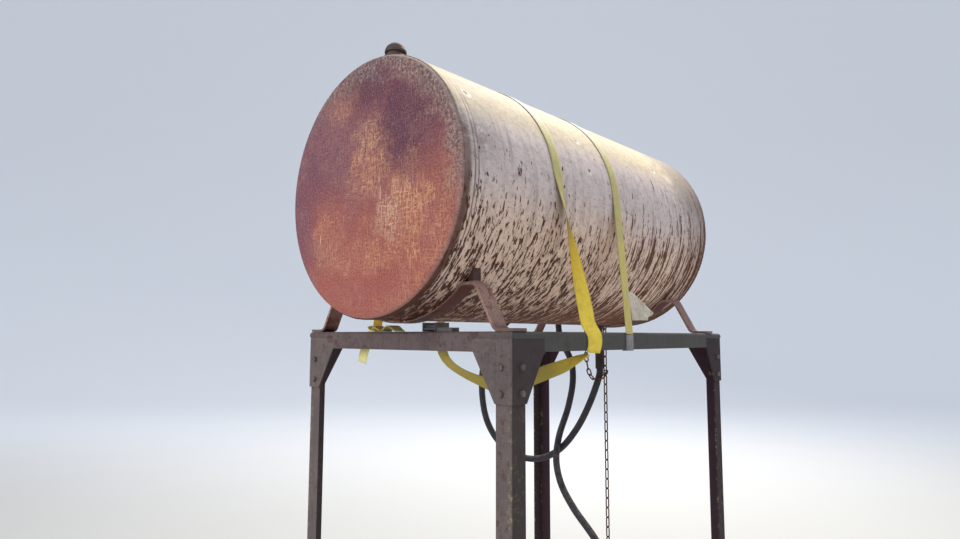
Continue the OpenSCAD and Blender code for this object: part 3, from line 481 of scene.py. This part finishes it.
def rubber_look():
    """Old black hose: dull, dusty on its upper side and scuffed, with faint wrap marks."""
    m = Look("hose_rubber", specular=0.4, flow=True)
    facing = m.split(m.node("ShaderNodeNewGeometry").outputs["Normal"])[2]
    patch = m.noise(22, 4, 0.6)
    m.colour = m.blend(m.rise(patch, 0.35, 0.65), (40, 37, 43), (56, 51, 55))
    dust = m.times(m.rise(facing, 0.0, 0.95), m.rise(m.noise(40, 4, 0.6), 0.35, 0.65))
    m.lay(dust, (118, 108, 102), 0.5)
    wrap = m.math("SINE", m.add(m.times(m.along, 2 * math.pi / 0.011), m.times(m.across, 2 * math.pi)))
    scuff = m.rise(m.noise(1, 3, 0.6, m.stretch(m.flow, (9, 40, 1))), 0.56, 0.7)
    m.lay(scuff, (94, 84, 78), 0.35)
    height = m.add(m.times(wrap, 0.35), m.noise(210, 3, 0.6))
    return m.done(m.add(0.45, m.times(patch, 0.3)), m.bump(height, 0.3, 0.0006))


looks = {
    "shell_paint": shell_look(),
    "rusty_steel": head_look(),
    "cap_iron": iron_look("cap_iron", (74, 62, 58), (112, 96, 88), (104, 66, 50), (42, 36, 36), 0.42,
                          metallic=0.1),
    "black_iron": iron_look("black_iron", (58, 50, 48), (86, 74, 68), (96, 58, 42), (34, 30, 30), 0.42,
                            metallic=0.1),
    # On the saddles, the first stain is painted shade: darker above z 1.69, where the bars' upper ends and
    # the lugs meet the tank
    "saddle_steel": iron_look("saddle_steel", (152, 116, 104), (174, 141, 128), (128, 78, 64), (78, 50, 46),
                              0.44, under=(84, 30, 26), stains=((2, 1.684, 1.690, (62, 44, 42), 0.85),
                                                                (2, 1.556, 1.534, (104, 88, 82), 0.75),
                                                                (0, 0.4, 0.6, (146, 122, 116), 0.5))),
    # On the rails and the stand, sides is painted shade on the faces toward -Y: olive grey on the rails, dark
    # mauve on the stand
    "rail_steel": iron_look("rail_steel", (98, 82, 82), (114, 98, 96), (90, 68, 62), (72, 62, 60), 0.42,
                            lichen=(106, 104, 90), sides=((74, 78, 74), 0.7)),
    "stand_steel": iron_look("stand_steel", (104, 91, 90), (118, 104, 100), (96, 72, 64), (74, 62, 60), 0.42,
                             lichen=(112, 112, 94), sides=((58, 48, 49), 0.8),
                             stains=((0, 0.25, 0.55, (54, 32, 44), 0.88),), corner=(168, 160, 112)),
    "bolt_steel": iron_look("bolt_steel", (100, 88, 84), (128, 114, 106), (100, 72, 60), (60, 50, 48), 0.44,
                            metallic=0.1, scale=2.0),
    "hook_steel": iron_look("hook_steel", (138, 136, 136), (170, 168, 166), (134, 104, 66), (92, 84, 80),
                            0.40, metallic=0.35, scale=1.6, stains=((0, -0.48, -0.56, (78, 70, 68), 0.75),)),
    "chain_steel": iron_look("chain_steel", (78, 62, 56), (106, 88, 80), (98, 56, 40), (44, 34, 34), 0.52,
                             metallic=0.2, scale=2.0),
    "nozzle_metal": iron_look("nozzle_metal", (150, 150, 150), (184, 184, 182), (128, 112, 98), (92, 88, 86),
                              0.34, metallic=0.6, scale=1.4),
    # webbing: its bright tone is partly painted sunlight
    "webbing": webbing_look("webbing", (255, 222, 84), (204, 190, 128), (206, 200, 192), (140, 126, 76)),
    # The spare webbing's tones are all painted paler: painted light that makes up for the shade under the
    # tank
    "spare_webbing_painted_light": webbing_look("spare_webbing_painted_light", (255, 244, 168), (204, 190, 128), (220, 212, 190),
                                  (196, 176, 96)),
    "hose_rubber": rubber_look(),
}

# Each CAD node takes the material of its slot in the record
slots = {p["node"]: p["material_slot"] for p in frame["record"].get("subparts", []) if "material_slot" in p}
for node, piece in nodes.items():
    piece.data.materials.clear()
    piece.data.materials.append(looks[slots[node]])


def smooth_route(points, step):
    """Points close together on one smooth curve through the given points, evenly spaced."""
    points = [Vector(p) for p in points]
    ends = [2 * points[0] - points[1]] + points + [2 * points[-1] - points[-2]]
    dense = []
    for p0, p1, p2, p3 in zip(ends, ends[1:], ends[2:], ends[3:]):
        t1 = (p1 - p0).length ** 0.5
        t2 = t1 + (p2 - p1).length ** 0.5
        t3 = t2 + (p3 - p2).length ** 0.5
        for i in range(24):
            t = t1 + (t2 - t1) * i / 24
            a1 = p0 * ((t1 - t) / t1) + p1 * (t / t1)
            a2 = p1 * ((t2 - t) / (t2 - t1)) + p2 * ((t - t1) / (t2 - t1))
            a3 = p2 * ((t3 - t) / (t3 - t2)) + p3 * ((t - t2) / (t3 - t2))
            b1 = a1 * ((t2 - t) / t2) + a2 * (t / t2)
            b2 = a2 * ((t3 - t) / (t3 - t1)) + a3 * ((t - t1) / (t3 - t1))
            dense.append(b1 * ((t2 - t) / (t2 - t1)) + b2 * ((t - t1) / (t2 - t1)))
    dense.append(points[-1])
    lengths = [0.0]
    for a, b in zip(dense, dense[1:]):
        lengths.append(lengths[-1] + (b - a).length)
    count = max(2, round(lengths[-1] / step))
    even, k = [], 0
    for i in range(count + 1):
        s = lengths[-1] * i / count
        while k < len(dense) - 2 and lengths[k + 1] < s:
            k += 1
        f = (s - lengths[k]) / max(1e-9, lengths[k + 1] - lengths[k])
        even.append(dense[k].lerp(dense[k + 1], min(1.0, max(0.0, f))))
    return even


def place_piece(name, points, faces, look, flow=None):
    """A piece of the dressed part from points and faces, riding on the part's one body."""
    mesh = bpy.data.meshes.new(name)
    mesh.from_pydata([tuple(p) for p in points], [], faces)
    mesh.validate()
    if flow is not None:
        layer = mesh.attributes.new("flow", "FLOAT_VECTOR", "POINT")
        layer.data.foreach_set("vector", [c for p in flow for c in p])
    mesh.polygons.foreach_set("use_smooth", [True] * len(mesh.polygons))
    mesh.materials.append(look)
    mesh.update()
    piece = bpy.data.objects.new(name, mesh)
    bpy.context.scene.collection.objects.link(piece)
    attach(piece, "root")
    return piece


def sweep(rings, closed=False):
    """Faces that join rings of equal size, with both ends closed unless the sweep itself closes."""
    n = len(rings[0])
    points = [p for ring in rings for p in ring]
    spans = len(rings) if closed else len(rings) - 1
    faces = []
    for i in range(spans):
        a, b = i * n, ((i + 1) % len(rings)) * n
        faces += [(a + k, a + (k + 1) % n, b + (k + 1) % n, b + k) for k in range(n)]
    if not closed:
        faces.append(tuple(reversed(range(n))))
        faces.append(tuple(range((len(rings) - 1) * n, len(rings) * n)))
    return points, faces


def carried_frames(path):
    """Side directions carried along a path without twist."""
    out, side = [], Vector((0, 1, 0))
    for i in range(len(path)):
        ahead = path[min(i + 1, len(path) - 1)] - path[max(i - 1, 0)]
        ahead.normalize()
        side = (side - side.dot(ahead) * ahead).normalized()
        out.append((ahead.copy(), side.copy(), ahead.cross(side)))
    return out


def hose_tube(name, route, diameter, look, sides=20, step=0.009):
    """A round hose along a route, with its own length and turn kept for the material."""
    path = smooth_route(route, step)
    rings, flow, done = [], [], 0.0
    for i, (centre, (_, u, w)) in enumerate(zip(path, carried_frames(path))):
        if i:
            done += (centre - path[i - 1]).length
        turns = [2 * math.pi * k / sides for k in range(sides)]
        rings.append([centre + diameter / 2 * (u * math.cos(a) + w * math.sin(a)) for a in turns])
        flow += [(done, min(k, sides - k) / sides, 0.0) for k in range(sides)]
    points, faces = sweep(rings)
    return place_piece(name, points, faces, look, flow), path


def strap_piece(name, path, wides, node=None, look="webbing"):
    """Flat webbing with soft edges along a path in mm; wides is the way of its width at each point."""
    raw = [Vector(p) / 1000 for p in path]
    centre_line = smooth_route(raw, 0.012)
    marks = [0.0]
    for a, b in zip(raw, raw[1:]):
        marks.append(marks[-1] + (b - a).length)
    total = sum((b - a).length for a, b in zip(centre_line, centre_line[1:]))
    half, t = STRAP_W / 2, STRAP_T / 2
    flat = half - 0.0012
    section = [(-flat, t), (-half * 0.5, t), (0, t), (half * 0.5, t), (flat, t), (half, 0.3 * t),
               (half, -0.3 * t), (flat, -t), (half * 0.5, -t), (0, -t), (-half * 0.5, -t), (-flat, -t),
               (-half, -0.3 * t), (-half, 0.3 * t)]
    rings, flow, done = [], [], 0.0
    for i, centre in enumerate(centre_line):
        if i:
            done += (centre - centre_line[i - 1]).length
        s = done / total * marks[-1]
        k = max(j for j in range(len(marks) - 1) if marks[j] <= s + 1e-9)
        f = min(1.0, (s - marks[k]) / max(1e-9, marks[k + 1] - marks[k]))
        side = Vector(wides[k]).normalized().lerp(Vector(wides[k + 1]).normalized(), f)
        ahead = centre_line[min(i + 1, len(centre_line) - 1)] - centre_line[max(i - 1, 0)]
        ahead.normalize()
        side = (side - side.dot(ahead) * ahead * 0.5).normalized()
        out = ahead.cross(side).normalized()
        rings.append([centre + side * a + out * b for a, b in section])
        flow += [(done, a, 0.0) for a, _ in section]
    points, faces = sweep(rings)
    piece = place_piece(name, points, faces, looks[look], flow)
    if node:
        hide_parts(node)
    return piece


def bead(name, path, size, slot_name, seed, closed=False, step=0.004):
    """A weld bead: a small lumpy roll of metal along a path."""
    line = smooth_route(list(path) + ([path[0]] if closed else []), step)
    if closed:
        line = line[:-1]
    rings = []
    for i, (centre, (_, u, w)) in enumerate(zip(line, carried_frames(line))):
        lump = 1 + 0.28 * math.sin(i * 1.9) * 0.6
        lump += 0.35 * hash_noise.noise(centre * 160 + Vector((seed, 0, 0)))
        r = size / 2 * lump
        rings.append([centre + r * (u * math.cos(a) + w * math.sin(a))
                      for a in (2 * math.pi * k / 7 for k in range(7))])
    points, faces = sweep(rings, closed)
    return place_piece(name, points, faces, looks[slot_name])


# The fuel hose, on the route that the part's source gives: it ends in the nozzle, which is a CAD node
hose_route = [(x / 1000, y / 1000, z / 1000) for x, y, z in (
    (600, 0, 1348.6), (600, 0, 1330), (596, 7, 1296), (580, 51, 1173), (581, 129, 1044), (583, 231, 935),
    (571, 329, 879), (546, 414, 867), (506, 489, 892), (463, 544, 949), (426, 587, 1040), (403, 606, 1156),
    (400, 607, 1318), (427, 586, 1445), (480, 544, 1550), (552, 483, 1633), (640, 415, 1702),
    (682, 392, 1717), (722, 379, 1709), (752, 370, 1678), (760, 364, 1632), (746, 353, 1574),
    (724, 329, 1519), (711, 290, 1456), (700, 237, 1370), (678, 215, 1273), (641, 219, 1146), (569, 230, 996),
    (506, 203, 891), (455, 140, 795), (421, 45, 701), (403, -81, 592), (398, -177, 469), (398, -235, 331),
    (405, -251, 195), (427, -235, 104), (456, -209, 58), (494, -173, 30), (561, -115, 17), (670, -40, 17),
)]
hose, hose_line = hose_tube("fuel_hose", hose_route, HOSE_D, looks["hose_rubber"])
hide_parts("hose")

# Webbing: the same routes as the part's source, in millimetres
axis_z = AXIS_Z / MM
rail_top = STAND_H / MM
clear = (STRAP_GAP + STRAP_T / 2) / MM
strap_r = TANK_R / MM + clear
strap_y = STAND_HALF_W / MM + clear
rise = axis_z - rail_top
leave = math.pi - math.atan2(strap_y, rise) - math.acos(strap_r / math.hypot(strap_y, rise))
across = (1, 0, 0)


def round_tank(x, angle):
    """A point on a strap that lies on the tank, at an angle from the top towards the left."""
    return (x, strap_r * math.sin(angle), axis_z + strap_r * math.cos(angle))


def over_tank(x):
    """A strap from its left anchorage up, over the tank and down to where it leaves it on the right."""
    arc = [round_tank(x, -i * leave / 20) for i in range(-20, 21)]
    return [(x, strap_y, rail_top - ANGLE_W / MM + 4), (x, strap_y, rail_top - 6)] + arc


def free_run(x, slant, f):
    """A point at the share f of the run from the tank down to the right rail."""
    top = Vector(round_tank(x, -leave))
    low = Vector((x + slant, -strap_y - 1, rail_top - 6))
    return tuple(top + f * (low - top))


def turned(degrees):
    """The way of a strap's width, turned from the tank's length by an angle seen from above."""
    return (math.cos(math.radians(degrees)), math.sin(math.radians(degrees)), 0)


run_steps = [0.06 + 0.08 * i for i in range(12)]
twists = [38 * f / 0.3 if f < 0.3 else min(132, 38 + 150 * (f - 0.3)) for f in run_steps]
front_x = -384
front_slant = 73
rear_x = 6
rear_slant = -50
loop_x = front_x + front_slant
laid = over_tank(front_x)
strap_piece(
    "front_tie_strap",
    laid + [free_run(front_x, front_slant, f) for f in run_steps]
    + [(loop_x, -strap_y - 18, 1512), (loop_x + 1, -strap_y - 18, 1480), (loop_x + 1, -strap_y - 11, 1453)],
    [across] * len(laid) + [turned(a) for a in twists] + [turned(138), turned(145), turned(150)],
    "front_strap",
)
path = over_tank(rear_x) + [free_run(rear_x, rear_slant, 1)]
strap_piece("rear_tie_strap", path, [across] * len(path), "rear_strap")
strap_piece(
    "strap_slack_end",
    [(loop_x - 2, -524, 1447), (-340, -500, 1432), (-372, -466, 1409), (-406, -430, 1391), (-437, -398, 1374),
     (-470, -362, 1355), (-505, -324, 1343), (-540, -287, 1345), (-575, -250, 1361), (-612, -208, 1387),
     (-638, -175, 1417), (-652, -160, 1448), (-658, -156, 1483), (-662.5, -155, 1512), (-663, -155, 1530),
     (-668, -155, 1536), (-676, -155, 1536)],
    [(0.72, 0.66, 0.1), (0.62, 0.6, 0.45), (0.4, 0.42, 0.8), (0.2, 0.2, 0.95), (0.15, 0.15, 0.97),
     (0.15, 0.1, 0.97), (0.0, 0.0, 0.97), (-0.3, -0.25, 0.8), (-0.5, -0.4, 0.65), (-0.5, -0.6, 0.5),
     (-0.3, -0.85, 0.35), (-0.1, -0.95, 0.15), (0, -1, 0), (0, -1, 0), (0, -1, 0), (0, -1, 0), (0, -1, 0)],
    "strap_tail",
)
wrap_x = -667.2
strap_piece(
    "spare_webbing_painted_light",
    [(wrap_x + 3.5, 274, 1407), (wrap_x + 3.5, 262, 1446), (wrap_x + 1.5, 238, 1488),
     (wrap_x + 1.5, 216, 1516), (wrap_x + 1.5, 206, 1527), (wrap_x - 7, 200, 1535),
     (wrap_x - 22, 184, 1542), (wrap_x - 24, 160, 1546), (wrap_x - 24, 136, 1541),
     (wrap_x - 24, 112, 1529), (wrap_x - 24, 100, 1526)],
    [(0, 1, 0.2), (0, 1, 0.25), (0, 1, 0.3), (0, 1, 0.2), (0.1, 1, 0), (0.5, 0.8, 0), (0.9, 0.4, 0),
     (1, 0.1, 0), (1, 0, 0), (1, 0, 0), (1, 0, 0)],
    "strap_bundle", look="spare_webbing_painted_light",
)
strap_piece(
    "spare_webbing_fold",
    [(wrap_x - 27, 92, 1526), (wrap_x - 27, 84, 1536), (wrap_x - 27, 68, 1545), (wrap_x - 27, 50, 1544),
     (wrap_x - 27, 34, 1534), (wrap_x - 27, 20, 1526)],
    [(1, 0, 0)] * 6, look="spare_webbing_painted_light",
)

# Blank cloth tag sewn to the rear strap's edge: its two faces are grids, joined by a strip round the rim
TAG_CELLS = 18
TAG_T = 0.0009
tag_look = iron_look("tag_cloth", (196, 182, 160), (222, 212, 194), (168, 150, 126), (140, 124, 106), 0.40,
                     scale=1.5)
corners = [Vector(p) / 1000
           for p in ((-26, -514.5, 1681), (150, -518, 1616), (108, -521, 1572), (6, -521, 1570))]
front = []
for row in range(TAG_CELLS + 1):
    t = row / TAG_CELLS
    for col in range(TAG_CELLS + 1):
        s = col / TAG_CELLS
        upper, lower = corners[0].lerp(corners[1], s), corners[3].lerp(corners[2], s)
        wave = 0.011 * math.sin(6.4 * s + 3.2 * t) * s + 0.007 * math.sin(11 * s - 8 * t) * (0.3 + 0.7 * s)
        crumple = Vector((0, -wave - 0.004 * s, 0.010 * math.sin(3.1 * s) * (1 - t)))
        front.append(upper.lerp(lower, t) + crumple)
back = [p + Vector((0, TAG_T, 0)) for p in front]
side, n = TAG_CELLS + 1, len(front)
cells = [(r * side + c, r * side + c + 1, (r + 1) * side + c + 1, (r + 1) * side + c)
         for r in range(TAG_CELLS) for c in range(TAG_CELLS)]
rim = (list(range(side)) + [r * side + TAG_CELLS for r in range(1, side)]
       + [TAG_CELLS * side + c for c in range(TAG_CELLS - 1, -1, -1)]
       + [r * side for r in range(TAG_CELLS - 1, 0, -1)])
tag_faces = cells + [tuple(n + i for i in reversed(cell)) for cell in cells]
tag_faces += [(a, n + a, n + b, b) for a, b in zip(rim, rim[1:] + rim[:1])]
tag = place_piece("cloth_tag", front + back, tag_faces, tag_look)


def circle(count):
    """The angles of points evenly spaced round a circle."""
    return [2 * math.pi * k / count for k in range(count)]


def corner_beads(name, x, y, sx, sy, inset, run, z, size, slot_name, seed):
    """Two beads from a corner of the stand inwards, one along each of its sides."""
    corner = f"{'r' if sx > 0 else 'f'}{'l' if sy > 0 else 'r'}"
    bead(f"{name}_x_{corner}", [(x - sx * d, y - sy * inset, z) for d in run], size, slot_name, seed + sy)
    bead(f"{name}_y_{corner}", [(x - sx * inset, y - sy * d, z) for d in run], size, slot_name, seed - sy)


# Weld beads: round both heads at the ends of the shell, round the fill bung, along both edges of the
# saddles and of their feet, where the gussets meet the rails, and where the legs stand on their foot plates
ring_r = TANK_R - 0.0022
for end, where in ((-1, "front"), (1, "rear")):
    ring = [(end * (SHELL_END + 0.0012), ring_r * math.sin(a), AXIS_Z + ring_r * math.cos(a))
            for a in circle(90)]
    bead(f"head_weld_{where}", ring, 0.0052, "shell_paint", 3 + end, closed=True, step=0.005)

bung_x, bung_r = -0.750, 0.0385
bung = [(bung_x + bung_r * math.cos(a), bung_r * math.sin(a),
         AXIS_Z + math.sqrt((TANK_R + 0.001) ** 2 - (bung_r * math.sin(a)) ** 2)) for a in circle(24)]
bead("fill_weld", bung, 0.006, "rusty_steel", 9, closed=True)

bar_r = TANK_R + 0.002
bar_edge = SADDLE_W / 2 + 0.00075
for side in (-1, 1):
    for x in (-SADDLE_X, SADDLE_X):
        for edge in (-bar_edge, bar_edge):
            place = f"{'l' if side > 0 else 'r'}_{'f' if x < 0 else 'b'}_{'a' if edge < 0 else 'b'}"
            arc = [(x + edge, side * bar_r * math.sin(a), AXIS_Z - bar_r * math.cos(a))
                   for a in (math.radians(2 + 4 * k) for k in range(10))]
            bead(f"saddle_weld_{place}", arc, 0.006, "shell_paint", x + side, step=0.006)
            foot = [(x + edge, side * y, STAND_H + 0.0015) for y in (0.484, 0.50, 0.515, 0.527)]
            bead(f"foot_weld_{place}", foot, 0.006, "saddle_steel", x - side)

for sx in (-1, 1):
    for sy in (-1, 1):
        x, y = STAND_SHIFT + sx * STAND_HALF_LEN, sy * STAND_HALF_W
        corner_beads("gusset_weld", x, y, sx, sy, 0.0008, (0.012, 0.06, 0.11, 0.158), STAND_H - 0.0200,
                     0.0048, "rail_steel", sx)
        corner_beads("foot_bead", x - sx * ANGLE_T, y - sy * ANGLE_T, sx, sy, 0.0085, (0.012, 0.03, 0.06),
                     0.0085, 0.006, "stand_steel", sx * 2)

# Plain pale floor that curves up into a backdrop, and grows paler with its distance from the camera
floor_look = Look("floor", specular=0.1)
shade = floor_look.times(floor_look.noise(1.2, 3, 0.5), 0.06)
away = floor_look.add(floor_look.times(floor_look.x, VIEW_WAY[0]),
                      floor_look.times(floor_look.y, VIEW_WAY[1]))
floor_look.colour = floor_look.blend(shade, (178, 178, 176), (166, 166, 164))
floor_look.lay(floor_look.rise(away, 1.5, 9.0), (240, 241, 243))
floor_look.done(0.9)
BEND_START, BEND_R, TOP, HALF_WIDTH = 10, 8, 24, 40
profile = [(2 * i - 30, 0.0) for i in range(20)]
profile += [(BEND_START + BEND_R * math.sin(a), BEND_R - BEND_R * math.cos(a))
            for a in (math.radians(9 * k) for k in range(1, 11))]
profile += [(BEND_START + BEND_R, 14), (BEND_START + BEND_R, TOP)]
ahead = Vector((*VIEW_WAY, 0))
sideways = Vector((-VIEW_WAY[1], VIEW_WAY[0], 0))
rows = []
for d, z in profile:
    middle = ahead * d + Vector((0, 0, z - 0.0005))
    rows += [tuple(middle - sideways * HALF_WIDTH), tuple(middle + sideways * HALF_WIDTH)]
mesh = bpy.data.meshes.new("floor")
mesh.from_pydata(rows, [], [(2 * i, 2 * i + 1, 2 * i + 3, 2 * i + 2) for i in range(len(profile) - 1)])
mesh.polygons.foreach_set("use_smooth", [True] * len(mesh.polygons))
mesh.materials.append(floor_look.material)
floor = bpy.data.objects.new("floor", mesh)
bpy.context.scene.collection.objects.link(floor)

# Soft studio light: a wide one above the tank's rear end, a fill from its front, and a pale sky
world = bpy.data.worlds.new("sky")
world.use_nodes = True
sky = world.node_tree.nodes["Background"]
sky.inputs["Color"].default_value = paint(222, 230, 242)
sky.inputs["Strength"].default_value = 0.92
bpy.context.scene.world = world


def soft_light(name, place, target, size, power, tint):
    """A round area light at a place, turned towards the target."""
    data = bpy.data.lights.new(name, "AREA")
    data.shape = "DISK"
    data.size = size
    data.energy = power
    data.color = tint
    light = bpy.data.objects.new(name, data)
    light.location = place
    light.rotation_euler = (Vector(target) - Vector(place)).to_track_quat("-Z", "Y").to_euler()
    bpy.context.scene.collection.objects.link(light)


soft_light("high_key", (3.6, 0.7, 7.4), (0, 0, 2.0), 2.2, 880, (1.0, 0.95, 0.87))
soft_light("front_fill", (-5.4, 0.9, 3.0), (-0.2, 0, 1.6), 3.5, 92, (0.98, 0.97, 1.0))
bpy.context.scene.view_settings.view_transform = "Standard"
